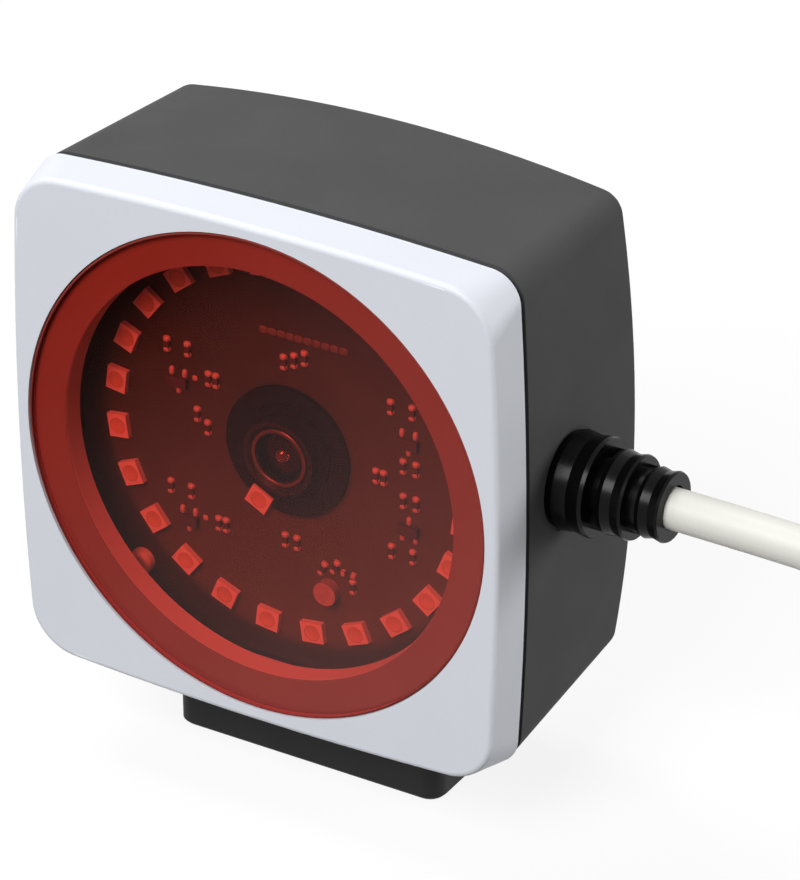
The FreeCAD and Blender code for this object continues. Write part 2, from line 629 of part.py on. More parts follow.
def board_screws():
    """Four pan-head screws that hold the lamp board to its standoffs."""
    screws = []
    for x, h in BOARD_CORNERS:
        shank = rod(x, h, LAMP_BOARD_DEPTH, LAMP_BOARD_BACK + BOARD_SCREW_BITE, BOARD_SCREW_RADIUS)
        front = LAMP_BOARD_DEPTH - BOARD_SCREW_HEAD_HIGH
        cap = rod(x, h, front, LAMP_BOARD_DEPTH, BOARD_SCREW_HEAD)
        cap = cap.makeFillet(BOARD_SCREW_HEAD_HIGH / 2, at_depth(cap, front))
        screws.append(shank.fuse(cap).removeSplitter())
    return group(screws)


def board_standoffs():
    """Four hexagonal standoffs with a stud through the main board into the housing's bosses."""
    posts = []
    for x, h in BOARD_CORNERS:
        start = spot(x, LAMP_BOARD_BACK, h)
        body = hexagon(start, Vector(0, 1, 0), STANDOFF_ACROSS, STANDOFF_LENGTH)
        bore = BOARD_SCREW_RADIUS + THREAD_GAP
        body = body.cut(rod(x, h, LAMP_BOARD_BACK, LAMP_BOARD_BACK + BOARD_SCREW_BITE, bore))
        stud = rod(x, h, MAIN_BOARD_DEPTH, MAIN_BOARD_BACK + STANDOFF_STUD, BOARD_SCREW_RADIUS)
        posts.append(body.fuse(stud).removeSplitter())
    return group(posts)


def main_board():
    """Rectangular board with cut corners, behind the lamp board."""
    wide = 2 * MAIN_BOARD_HALF_WIDTH
    high = 2 * MAIN_BOARD_HALF_HIGH
    board = block(0, wide, MAIN_BOARD_DEPTH, MAIN_BOARD_BACK, 0, high)
    across = [e for e in board.Edges if abs(e.Vertexes[0].Y - e.Vertexes[1].Y) > BOARD_THICK / 2]
    board = board.makeChamfer(MAIN_BOARD_CORNER, across)
    for x, h in BOARD_CORNERS:
        board = board.cut(rod(x, h, MAIN_BOARD_DEPTH, MAIN_BOARD_BACK, BOARD_SCREW_RADIUS + CLEARANCE_HOLE))
    for x in (-HOLDER_SCREW_PLACE, HOLDER_SCREW_PLACE):
        hole = HOLDER_SCREW_RADIUS + CLEARANCE_HOLE
        board = board.cut(rod(x, -HOLDER_SCREW_PLACE, MAIN_BOARD_DEPTH, MAIN_BOARD_BACK, hole))
    return board


def board_header():
    """Pin strip that joins the two boards."""
    return block(HEADER_PLACE, HEADER_WIDTH, LAMP_BOARD_BACK, MAIN_BOARD_DEPTH, HEADER_RISE, HEADER_HIGH)


def image_sensor():
    """Camera chip on the main board, on the lens axis."""
    return block(0, SENSOR_SIDE, MAIN_BOARD_DEPTH - SENSOR_HIGH, MAIN_BOARD_DEPTH, 0, SENSOR_SIDE)


def processor_chip():
    """Square processor on the back of the main board."""
    end = MAIN_BOARD_BACK + PROCESSOR_HIGH
    return block(PROCESSOR_PLACE, PROCESSOR_SIDE, MAIN_BOARD_BACK, end, PROCESSOR_RISE, PROCESSOR_SIDE)


def memory_chip():
    """Memory beside the processor."""
    place = PROCESSOR_PLACE - PROCESSOR_SIDE / 2 - MEMORY_GAP - MEMORY_WIDTH / 2
    end = MAIN_BOARD_BACK + PROCESSOR_HIGH
    return block(place, MEMORY_WIDTH, MAIN_BOARD_BACK, end, PROCESSOR_RISE, MEMORY_HIGH_SIDE)


def lens_holder():
    """Square base over the camera chip with a threaded tube through the lamp board."""
    base_front = MAIN_BOARD_DEPTH - HOLDER_BASE_HIGH
    holder = block(0, HOLDER_BASE_SIDE, base_front, MAIN_BOARD_DEPTH, 0, HOLDER_BASE_SIDE)
    holder = holder.fuse(rod(0, 0, HOLDER_FRONT, base_front, HOLDER_RADIUS))
    cavity_front = MAIN_BOARD_DEPTH - HOLDER_CAVITY_HIGH
    holder = holder.cut(block(0, HOLDER_CAVITY_SIDE, cavity_front, MAIN_BOARD_DEPTH, 0, HOLDER_CAVITY_SIDE))
    holder = holder.cut(rod(0, 0, HOLDER_FRONT, MAIN_BOARD_DEPTH, BARREL_RADIUS + LENS_FIT_GAP))
    for x in (-HOLDER_SCREW_PLACE, HOLDER_SCREW_PLACE):
        pilot = HOLDER_SCREW_RADIUS + THREAD_GAP
        holder = holder.cut(rod(x, -HOLDER_SCREW_PLACE, cavity_front, MAIN_BOARD_DEPTH, pilot))
    return holder.removeSplitter()


def holder_screws():
    """Two small screws through the main board into the lens holder."""
    screws = []
    for x in (-HOLDER_SCREW_PLACE, HOLDER_SCREW_PLACE):
        start = MAIN_BOARD_DEPTH - HOLDER_CAVITY_HIGH
        shank = rod(x, -HOLDER_SCREW_PLACE, start, MAIN_BOARD_BACK, HOLDER_SCREW_RADIUS)
        head_end = MAIN_BOARD_BACK + HOLDER_SCREW_HEAD_HIGH
        head = rod(x, -HOLDER_SCREW_PLACE, MAIN_BOARD_BACK, head_end, HOLDER_SCREW_HEAD)
        screws.append(shank.fuse(head).removeSplitter())
    return group(screws)


def lens_barrel():
    """Threaded barrel that holds the lens elements, with a coned mouth."""
    end = BARREL_LENGTH
    mouth = LENS_RADIUS + LENS_FIT_GAP
    profile = [(0, BARREL_MOUTH), (0, BARREL_RADIUS), (end, BARREL_RADIUS), (end, mouth)]
    profile += [(BARREL_MOUTH_DEPTH, mouth)]
    return turned(profile, spot(0, BARREL_FRONT, 0), Vector(0, 1, 0), Vector(0, 0, 1))


def lens_element(front):
    """A lens with a domed front face, its rim starting at a depth."""
    base = spot(0, front, 0)
    back = Vector(0, 1, 0)
    up = Vector(0, 0, 1)
    bend = (LENS_RADIUS ** 2 + LENS_SAG ** 2) / (2 * LENS_SAG)
    half = LENS_RADIUS / 2
    shoulder = LENS_SAG - bend + math.sqrt(bend ** 2 - half ** 2)
    tip = base - back * LENS_SAG
    rim = base + up * LENS_RADIUS
    dome = Part.Arc(tip, base - back * shoulder + up * half, rim).toShape()
    rest = Part.makePolygon([rim, rim + back * LENS_THICK, base + back * LENS_THICK, tip])
    return Part.Face(Part.Wire([dome] + rest.Edges)).revolve(base, back, 360)


def lens_shroud():
    """Black dished ring that keeps lamp light out of the lens, notched for the aiming lamp."""
    seat = LAMP_BOARD_DEPTH - SHROUD_FRONT
    inner = HOLDER_RADIUS + LENS_FIT_GAP
    profile = [(SHROUD_DISH, inner), (0, SHROUD_RADIUS), (seat, SHROUD_RADIUS), (seat, inner)]
    ring = turned(profile, spot(0, SHROUD_FRONT, 0), Vector(0, 1, 0), Vector(0, 0, 1))
    wide = LAMP_LENGTH + 2 * NOTCH_GAP
    deep = LAMP_WIDTH + 2 * NOTCH_GAP
    notch = block(AIM_LAMP_RADIUS, deep, SHROUD_FRONT, LAMP_BOARD_DEPTH, 0, wide)
    return ring.cut(turn_about_axis(notch, AIM_LAMP_ANGLE))


def gland_base(x):
    """A point on the bend relief's axis."""
    return spot(x, GLAND_DEPTH, GLAND_HEIGHT)


def bead(start, length, radius):
    """Outline points of one segment of the bend relief: two crests with a shallow waist between them."""
    waist = GLAND_WAIST
    return [(start, radius - waist), (start + 0.2 * length, radius), (start + 0.55 * length, radius - waist),
            (start + 0.9 * length, radius), (start + length, radius - waist / 2)]


def bend_relief():
    """Moulded bend relief: a bell on the wall, then a ring and a collar on a thin core, joined by webs."""
    out = Vector(1, 0, 0)
    bell_end = GLAND_SEAT + GLAND_BELL_LENGTH
    ring_start = bell_end + GLAND_GROOVE
    ring_end = ring_start + GLAND_RING_LENGTH
    collar_start = ring_end + GLAND_GROOVE
    bore = CABLE_RADIUS + CABLE_GAP
    inner_end = GLAND_SEAT - GLAND_THREAD_LENGTH
    base = gland_base(0)
    profile = [(inner_end, bore), (inner_end, GLAND_THREAD_RADIUS), (GLAND_SEAT, GLAND_THREAD_RADIUS)]
    profile += bead(GLAND_SEAT, GLAND_BELL_LENGTH, GLAND_BELL_RADIUS)
    profile += [(bell_end, GLAND_CORE_RADIUS), (ring_start, GLAND_CORE_RADIUS)]
    profile += bead(ring_start, GLAND_RING_LENGTH, GLAND_RING_RADIUS)
    profile += [(ring_end, GLAND_CORE_RADIUS), (collar_start, GLAND_CORE_RADIUS)]
    profile += bead(collar_start, GLAND_COLLAR_LENGTH, GLAND_COLLAR_RADIUS)
    profile += [(GLAND_END, bore)]
    body = turned(profile, base, out, Vector(0, 0, 1))
    for start, radius in ((bell_end, GLAND_RING_RADIUS), (ring_end, GLAND_COLLAR_RADIUS)):
        reach = radius - GLAND_WAIST
        web = Part.makeBox(GLAND_GROOVE, GLAND_WEB, 2 * reach, base + Vector(start, -GLAND_WEB / 2, -reach))
        web.rotate(base, out, GLAND_WEB_ANGLE)
        core = Part.makeCylinder((GLAND_CORE_RADIUS + bore) / 2, GLAND_GROOVE, base + out * start, out)
        body = body.fuse(web.cut(core))
    return body.removeSplitter()


def relief_nut():
    """Hexagonal nut that clamps the bend relief from inside the housing."""
    inner_wall = GLAND_SEAT - HOUSING_WALL
    start = gland_base(inner_wall - NUT_LENGTH)
    nut = hexagon(start, Vector(1, 0, 0), NUT_ACROSS, NUT_LENGTH)
    return nut.cut(Part.makeCylinder(GLAND_THREAD_RADIUS + THREAD_GAP, NUT_LENGTH, start, Vector(1, 0, 0)))


def lead_wires():
    """Insulated wires between the lead's end and the plug on the main board."""
    wires = []
    for k in range(CONTACT_COUNT):
        angle = math.radians(45 + 360 * k / CONTACT_COUNT)
        offset = Vector(0, WIRE_CIRCLE * math.cos(angle), WIRE_CIRCLE * math.sin(angle))
        start = gland_base(WIRE_START) + offset
        wires.append(Part.makeCylinder(WIRE_RADIUS, CABLE_START - WIRE_START, start, Vector(1, 0, 0)))
    return group(wires)


def lead_plug():
    """Plug at the wires' ends."""
    middle = PLUG_START + PLUG_LENGTH / 2
    front = MAIN_BOARD_DEPTH - PLUG_THICK
    return block(middle, PLUG_LENGTH, front, MAIN_BOARD_DEPTH, GLAND_HEIGHT, PLUG_HIGH)


def lead_socket():
    """Socket on the main board that takes the plug."""
    middle = SOCKET_START + SOCKET_LENGTH / 2
    front = MAIN_BOARD_DEPTH - SOCKET_THICK
    return block(middle, SOCKET_LENGTH, front, MAIN_BOARD_DEPTH, GLAND_HEIGHT, SOCKET_HIGH)


def lead_tube(name, points):
    """A round tube along straight runs joined by the largest tangent arcs, with its radii printed."""
    ends = [points[0]]
    edges = []
    radii = []
    for before, corner, after in zip(points, points[1:], points[2:]):
        back = before - corner
        ahead = after - corner
        turn = math.pi - back.getAngle(ahead)
        setback = 0.45 * min(back.Length, ahead.Length)
        radius = setback / math.tan(turn / 2)
        start = corner + back.normalize() * setback
        finish = corner + ahead.normalize() * setback
        bisector = (back + ahead).normalize()
        middle = corner + bisector * (radius / math.cos(turn / 2) - radius)
        edges.append(Part.LineSegment(ends[-1], start).toShape())
        edges.append(Part.Arc(start, middle, finish).toShape())
        ends.append(finish)
        radii.append(radius)
    edges.append(Part.LineSegment(ends[-1], points[-1]).toShape())
    path = Part.Wire(edges)
    length = path.Length
    along = points[1] - points[0]
    profile = Part.Wire(Part.makeCircle(CABLE_RADIUS, points[0], along))
    tube = path.makePipeShell([profile], True, False)
    tube = Part.Solid(tube) if tube.ShapeType == "Shell" else tube
    section = math.pi * CABLE_RADIUS ** 2
    print(name, "length", round(length, 1), "radii", [round(r, 1) for r in radii],
          "volume over section times length", round(tube.Volume / (section * length), 4))
    return tube


def cable_lead():
    """The lead from inside the bend relief, out and down to the hank."""
    points = [gland_base(CABLE_START), gland_base(GLAND_END + LEAD_STRAIGHT)]
    points += [Vector(*point) for point in LEAD_FREE_ROUTE]
    return lead_tube("cable_lead", points)


def cable_tail():
    """The last stretch, from the hank to the connector."""
    return lead_tube("cable_tail", [Vector(*point) for point in TAIL_ROUTE])


def long_loop(radius, high):
    """A solid of a height over the table, two half rounds of a radius joined by the hank's straight runs."""
    left = Vector(HANK_X - HANK_RUN / 2, HANK_Y, 0)
    right = Vector(HANK_X + HANK_RUN / 2, HANK_Y, 0)
    out = Vector(radius, 0, 0)
    side = Vector(0, radius, 0)
    edges = [
        Part.LineSegment(left - side, right - side).toShape(),
        Part.Arc(right - side, right + out, right + side).toShape(),
        Part.LineSegment(right + side, left + side).toShape(),
        Part.Arc(left + side, left - out, left - side).toShape(),
    ]
    return Part.Face(Part.Wire(edges)).extrude(Vector(0, 0, high))


def tie_block(clear, bottom, top):
    """A block round the middle of the hank's back run, wider than the run by clear on both sides."""
    near = HANK_Y + HANK_FOLD - CABLE_RADIUS - clear
    deep = HANK_TURNS_A_LAYER * CABLE_PITCH + 2 * clear
    return Part.makeBox(TIE_WIDTH, deep, top - bottom, Vector(HANK_X - TIE_WIDTH / 2, near, bottom))


def cable_hank():
    """Outer shape of the wound turns, with a slot underneath where the tie goes round."""
    hank = long_loop(HANK_OUTER_FOLD + CABLE_RADIUS, HANK_HIGH)
    hank = hank.cut(long_loop(HANK_FOLD - CABLE_RADIUS, HANK_HIGH))
    flat = [e for e in hank.Edges if abs(e.Vertexes[0].Z - e.Vertexes[-1].Z) < 1e-6]
    hank = hank.makeChamfer(HANK_ROUNDING, flat)
    return hank.cut(tie_block(TIE_GAP, 0, TIE_THICK + TIE_GAP))


def cable_tie():
    """Flat strap round the hank's back run with its square head on top."""
    top = HANK_HIGH + TIE_GAP
    strap = tie_block(TIE_GAP + TIE_THICK, 0, top + TIE_THICK)
    strap = strap.cut(tie_block(TIE_GAP, TIE_THICK, top))
    middle = Vector(HANK_X, HANK_Y + (HANK_FOLD + HANK_OUTER_FOLD) / 2, top + TIE_THICK / 2)
    head = Part.makeBox(TIE_HEAD, TIE_HEAD, TIE_HEAD_HIGH, middle - Vector(TIE_HEAD / 2, TIE_HEAD / 2, 0))
    return strap.fuse(head).removeSplitter()


def connector_frame():
    """Start point of the connector on the tail's end, its axis and a direction across it."""
    end = Vector(*TAIL_ROUTE[-1])
    axis = (end - Vector(*TAIL_ROUTE[-2])).normalize()
    return end - axis * CONNECTOR_REACH, axis, Vector(0, 0, 1)


def flutes(count, radius, depth, start, length, base, axis, up):
    """Round grooves along a turned body, evenly spaced about its axis."""
    groove = math.pi * radius / count / 2
    cutters = []
    for k in range(count):
        direction = FreeCAD.Rotation(axis, 360 * (k + 0.5) / count).multVec(up)
        middle = base + direction * (radius + groove - depth) + axis * start
        cutters.append(Part.makeCylinder(groove, length, middle, axis))
    return cutters


def connector_body():
    """Overmoulded grip with a taper for the lead and a neck with a flange that keeps the coupling nut."""
    base, axis, up = connector_frame()
    grip_start = CONNECTOR_TAPER
    grip_end = grip_start + GRIP_LENGTH
    neck_end = grip_end + NECK_LENGTH
    end = neck_end + NECK_FLANGE
    bore = CABLE_RADIUS + CABLE_GAP
    body = turned([
        (0, bore), (0, CONNECTOR_TAPER_RADIUS), (grip_start, CONNECTOR_SHOULDER),
        (grip_start + GRIP_EDGE, GRIP_RADIUS), (grip_end - GRIP_EDGE, GRIP_RADIUS),
        (grip_end, GRIP_RADIUS - GRIP_EDGE), (grip_end, NECK_RADIUS), (neck_end, NECK_RADIUS),
        (neck_end, NECK_FLANGE_RADIUS), (end, NECK_FLANGE_RADIUS), (end, 0), (CONNECTOR_REACH, 0),
        (CONNECTOR_REACH, bore),
    ], base, axis, up)
    run = GRIP_LENGTH - 6 * GRIP_EDGE
    start = grip_start + 3 * GRIP_EDGE
    cutters = flutes(GRIP_FLUTES, GRIP_RADIUS, GRIP_FLUTE_DEPTH, start, run, base, axis, up)
    return body.cut(cutters).removeSplitter()


def connector_front():
    """Distance from the lead's entry to the front of the connector's flange."""
    return CONNECTOR_TAPER + GRIP_LENGTH + NECK_LENGTH + NECK_FLANGE


def contact_carrier():
    """Insulating disc that holds the contacts."""
    base, axis, _ = connector_frame()
    return Part.makeCylinder(CARRIER_RADIUS, CARRIER_LENGTH, base + axis * connector_front(), axis)


def connector_contacts():
    """Contact pins that stand out of the carrier."""
    base, axis, up = connector_frame()
    pins = []
    start = base + axis * (connector_front() + CARRIER_LENGTH)
    for k in range(CONTACT_COUNT):
        direction = FreeCAD.Rotation(axis, 45 + 360 * k / CONTACT_COUNT).multVec(up)
        pin = Part.makeCylinder(CONTACT_RADIUS, CONTACT_LENGTH, start + direction * CONTACT_CIRCLE, axis)
        tip = [e for e in pin.Edges if (e.CenterOfMass - start).dot(axis) > CONTACT_LENGTH * 0.9]
        pins.append(pin.makeFillet(CONTACT_RADIUS * 0.6, tip))
    return group(pins)


def connector_seal():
    """Rubber ring at the foot of the carrier."""
    base, axis, _ = connector_frame()
    front = connector_front()
    outer = CARRIER_RADIUS + CONNECTOR_SEAL
    ring = Part.makeCylinder(outer, CONNECTOR_SEAL, base + axis * front, axis)
    return ring.cut(Part.makeCylinder(CARRIER_RADIUS, CONNECTOR_SEAL, base + axis * front, axis))


def coupling_nut():
    """Fluted nut that turns freely on the connector's neck, kept by its inner lip."""
    base, axis, up = connector_frame()
    start = CONNECTOR_TAPER + GRIP_LENGTH + COUPLING_GAP
    lip_end = start + COUPLING_LIP
    relief_end = lip_end + COUPLING_RELIEF
    end = start + COUPLING_LENGTH
    lip = NECK_RADIUS + COUPLING_GAP
    relief = NECK_FLANGE_RADIUS + COUPLING_GAP
    edge = GRIP_EDGE
    nut = turned([
        (start, lip), (start, COUPLING_RADIUS - edge), (start + edge, COUPLING_RADIUS),
        (end - edge, COUPLING_RADIUS), (end, COUPLING_RADIUS - edge), (end, COUPLING_BORE),
        (relief_end, COUPLING_BORE), (relief_end, relief), (lip_end, relief), (lip_end, lip),
    ], base, axis, up)
    run = COUPLING_LENGTH - 4 * edge
    first = start + 2 * edge
    cutters = flutes(COUPLING_FLUTES, COUPLING_RADIUS, COUPLING_FLUTE_DEPTH, first, run, base, axis, up)
    return nut.cut(cutters).removeSplitter()


PIECES = {
    "front_bezel": front_bezel(),
    "window": window(),
    "window_seal": window_seal(),
    "housing_gasket": housing_gasket(),
    "rear_housing": rear_housing(),
    "case_screws": case_screws(),
    "mounting_foot": mounting_foot(),
    "foot_screws": foot_screws(),
    "foot_inserts": foot_inserts(),
    "lamp_board": lamp_board(),
    "ring_lamps": ring_lamps(),
    "aiming_lamp": aiming_lamp(),
    "chip_resistors": chip_resistors(),
    "driver_transistors": driver_transistors(),
    "smoothing_capacitor": smoothing_capacitor(),
    "board_screws": board_screws(),
    "board_standoffs": board_standoffs(),
    "main_board": main_board(),
    "board_header": board_header(),
    "image_sensor": image_sensor(),
    "processor_chip": processor_chip(),
    "memory_chip": memory_chip(),
    "lens_holder": lens_holder(),
    "holder_screws": holder_screws(),
    "lens_barrel": lens_barrel(),
    "front_lens": lens_element(BARREL_FRONT + BARREL_MOUTH_DEPTH + LENS_SAG),
    "rear_lens": lens_element(BARREL_FRONT + BARREL_MOUTH_DEPTH + LENS_SAG + LENS_SPACING),
    "lens_shroud": lens_shroud(),
    "bend_relief": bend_relief(),
    "relief_nut": relief_nut(),
    "lead_wires": lead_wires(),
    "lead_plug": lead_plug(),
    "lead_socket": lead_socket(),
    "cable_lead": cable_lead(),
    "cable_hank": cable_hank(),
    "cable_tie": cable_tie(),
    "cable_tail": cable_tail(),
    "connector_body": connector_body(),
    "contact_carrier": contact_carrier(),
    "connector_contacts": connector_contacts(),
    "connector_seal": connector_seal(),
    "coupling_nut": coupling_nut(),
}

os.makedirs("parts", exist_ok=True)
for name, shape in PIECES.items():
    print(name, "valid", shape.isValid(), "solids", len(shape.Solids), "volume", round(shape.Volume, 2))
    shape.exportStep("parts/" + name + ".step")
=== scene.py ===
import bmesh
import bpy
import numpy as np
from mathutils import Matrix, Vector


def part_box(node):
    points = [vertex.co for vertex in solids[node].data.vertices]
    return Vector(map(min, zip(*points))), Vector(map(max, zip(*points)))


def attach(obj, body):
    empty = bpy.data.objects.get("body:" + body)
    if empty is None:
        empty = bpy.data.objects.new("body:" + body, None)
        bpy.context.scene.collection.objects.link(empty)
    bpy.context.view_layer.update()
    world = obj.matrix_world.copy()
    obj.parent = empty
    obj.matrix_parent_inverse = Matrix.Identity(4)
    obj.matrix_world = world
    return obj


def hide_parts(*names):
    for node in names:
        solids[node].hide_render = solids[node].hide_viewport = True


# Optical reading head on its foot, with its lead put away in a tied hank beside it.
# Lengths are metres. The window faces -Y and the middle of the foot's underside is the origin.
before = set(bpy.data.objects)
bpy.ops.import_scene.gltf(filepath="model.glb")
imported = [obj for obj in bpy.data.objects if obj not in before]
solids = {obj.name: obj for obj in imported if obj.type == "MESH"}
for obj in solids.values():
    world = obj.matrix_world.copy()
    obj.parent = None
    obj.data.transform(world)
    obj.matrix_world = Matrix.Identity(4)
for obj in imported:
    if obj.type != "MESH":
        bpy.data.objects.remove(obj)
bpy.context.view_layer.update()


# Mounting foot: a plain moulded block of black plastic under the housing. Two socket screws draw it up,
# and two knurled brass thread inserts are pressed in from below for the bracket's screws.
class Flow:
    """A value on its way through a material: arithmetic adds Math nodes, add() makes any other node."""

    def __init__(self, tree, socket=None):
        self.tree = tree
        self.socket = socket

    def add(self, kind, settings=(), sockets=(), out=0):
        """A node of a kind: its settings first, a ramp's stops among them, then its sockets."""
        made = self.tree.nodes.new("ShaderNode" + kind)
        for name, value in dict(settings).items():
            if name == "stops":
                steps = made.color_ramp.elements
                while len(steps) < len(value):
                    steps.new(1.0)
                for step, (position, colour) in zip(steps, value):
                    step.position = position
                    step.color = (*colour, 1.0)
            else:
                setattr(made, name, value)
        for name, value in dict(sockets).items():
            if isinstance(value, Flow):
                self.tree.links.new(value.socket, made.inputs[name])
            else:
                made.inputs[name].default_value = value
        return Flow(self.tree, made.outputs[out])

    def other(self, out):
        """Another output of the node that this value comes from."""
        return Flow(self.tree, self.socket.node.outputs[out])

    def maths(self, operation, first, second=0.0):
        return self.add("Math", {"operation": operation}, {0: first, 1: second})

    def __add__(self, value):
        return self.maths("ADD", self, value)

    def __sub__(self, value):
        return self.maths("SUBTRACT", self, value)

    def __rsub__(self, value):
        return self.maths("SUBTRACT", value, self)

    def __mul__(self, value):
        return self.maths("MULTIPLY", self, value)

    __radd__ = __add__
    __rmul__ = __mul__

    def into(self, shader, name):
        self.tree.links.new(self.socket, shader.inputs[name])


def new_finish(name, **constants):
    """A material with one Principled shader. Returns it, the shader, and Object coordinates."""
    finish = bpy.data.materials.new(name)
    finish.use_nodes = True
    shader = finish.node_tree.nodes["Principled BSDF"]
    for socket, value in constants.items():
        shader.inputs[socket.replace("_", " ").title().replace("Ior", "IOR")].default_value = value
    return finish, shader, Flow(finish.node_tree).add("TexCoord", out="Object")


def wear(finish, *names):
    """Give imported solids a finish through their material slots."""
    for name in names:
        solids[name].material_slots[0].material = finish


def two_tones(colour, spread):
    """A ramp's stops from a colour a share darker to the colour a share lighter."""
    colour = np.array(colour)
    return [(0.3, tuple(colour * (1 - spread))), (0.7, tuple(np.minimum(colour * (1 + spread), 1.0)))]


def moulded(name, colour, spread, grain, depth, dull, gloss, **constants):
    """A moulding: its tool's fine grain as bump, and a broad cloud in its colour and its gloss.

    The colour goes the spread's share darker and lighter, the grain is its cells per metre and the depth its
    height in metres, and the roughness goes from dull to gloss.
    """
    finish, shader, place = new_finish(name, **constants)
    fine = place.add("TexNoise", {}, {"Vector": place, "Scale": grain, "Detail": 2.0})
    broad = place.add("TexNoise", {}, {"Vector": place, "Scale": 90.0, "Detail": 4.0})
    tone = fine * 0.4 + broad * 0.6
    place.add("ValToRGB", {"stops": two_tones(colour, spread)}, {"Fac": tone}).into(shader, "Base Color")
    (broad * (gloss - dull) + dull).into(shader, "Roughness")
    place.add("Bump", {}, {"Height": fine, "Strength": 0.4, "Distance": depth}).into(shader, "Normal")
    return finish


def worked_metal(name, colour, spread, stretch, dull, gloss, metallic=1.0):
    """A turned, drawn or plated metal: a noise that is stretched along the tool's way.

    The stretch is its cells per metre on each axis. The colour goes the spread's share darker and lighter,
    and the roughness goes from dull to gloss.
    """
    finish, shader, place = new_finish(name, metallic=metallic)
    lay = place.add("Mapping", {}, {"Vector": place, "Scale": stretch})
    streak = place.add("TexNoise", {}, {"Vector": lay, "Scale": 1.0, "Detail": 4.0})
    place.add("ValToRGB", {"stops": two_tones(colour, spread)}, {"Fac": streak}).into(shader, "Base Color")
    (streak * (gloss - dull) + dull).into(shader, "Roughness")
    place.add("Bump", {}, {"Height": streak, "Strength": 0.25, "Distance": 0.000003}).into(shader, "Normal")
    return finish


foot_black = moulded("foot_black", (0.018, 0.017, 0.017), 0.12, 2600, 0.00003, 0.65, 0.5,
                     specular_ior_level=0.2)
wear(foot_black, "mounting_foot")
zinc = worked_metal("zinc_plate", (0.60, 0.60, 0.58), 0.14, (900, 900, 900), 0.42, 0.25)
wear(zinc, "foot_screws", "case_screws", "holder_screws", "relief_nut")
brass = worked_metal("turned_brass", (0.70, 0.50, 0.22), 0.15, (500, 500, 4000), 0.4, 0.22)
wear(brass, "foot_inserts", "board_standoffs")

# Rear housing: a tub of black moulded plastic, its sides bowed more towards the back and spark-eroded to a
# fine satin. Four long screws from the back pull it onto the bezel against a foam gasket in the seam.
housing_black = moulded("housing_black", (0.083, 0.083, 0.085), 0.06, 3200, 0.00003, 0.72, 0.6,
                        specular_ior_level=0.06)
wear(housing_black, "rear_housing")
wear(moulded("gasket_foam", (0.008, 0.008, 0.008), 0.4, 5200, 0.00012, 0.95, 0.8), "housing_gasket")

# Main board: glass laminate with green mask, on the housing's four bosses, carrying the camera chip, the
# processor with its memory, the pin strip to the lamp board and the socket for the lead's plug.
mask, shader, place = new_finish("solder_mask", roughness=0.35)
apart = place.add("SeparateXYZ", {}, {"Vector": place})
flat = place.add("CombineXYZ", {}, {"X": apart, "Y": apart.other(2)})
tracks = place.add("TexBrick", {"offset": 0.35, "squash": 0.6, "squash_frequency": 3}, {
    "Vector": flat, "Scale": 260.0, "Mortar Size": 0.035,
    "Color1": (0, 0, 0, 1), "Color2": (0, 0, 0, 1), "Mortar": (1, 1, 1, 1)})
cloud = place.add("TexNoise", {}, {"Vector": place, "Scale": 160.0, "Detail": 2.0})
mask_tone = tracks.other(1) * 0.5 + cloud * 0.5
green = [(0.15, (0.012, 0.075, 0.03)), (0.8, (0.035, 0.16, 0.06))]
place.add("ValToRGB", {"stops": green}, {"Fac": mask_tone}).into(shader, "Base Color")
place.add("Bump", {}, {"Height": mask_tone, "Strength": 0.5, "Distance": 0.00003}).into(shader, "Normal")
wear(mask, "main_board")

chip_black = moulded("chip_black", (0.020, 0.020, 0.021), 0.2, 4200, 0.00002, 0.6, 0.4)
wear(chip_black, "processor_chip", "memory_chip", "board_header")
cover_glass = moulded("sensor_cover", (0.022, 0.026, 0.045), 0.3, 500, 0.000001, 0.1, 0.05, coat_weight=1.0)
wear(cover_glass, "image_sensor")
wear(moulded("plug_nylon", (0.76, 0.74, 0.66), 0.06, 2600, 0.00002, 0.5, 0.35), "lead_plug", "lead_socket")

# Camera lens: two coated glasses in a black threaded barrel, which is screwed into a holder over the camera
# chip. A polished ring keeps the front glass in, and a dished black ring on the lamp board keeps stray light
# out. The glass is steep in its middle.
axis_height = 0.047
shade_black = moulded("shade_black", (0.004, 0.004, 0.004), 0.15, 5200, 0.000004, 0.75, 0.6,
                      specular_ior_level=0.08)
wear(shade_black, "lens_holder", "lens_shroud")
barrel_black = moulded("barrel_black", (0.012, 0.011, 0.011), 0.25, 5200, 0.00001, 0.4, 0.28,
                       specular_ior_level=0.15)
wear(barrel_black, "lens_barrel")


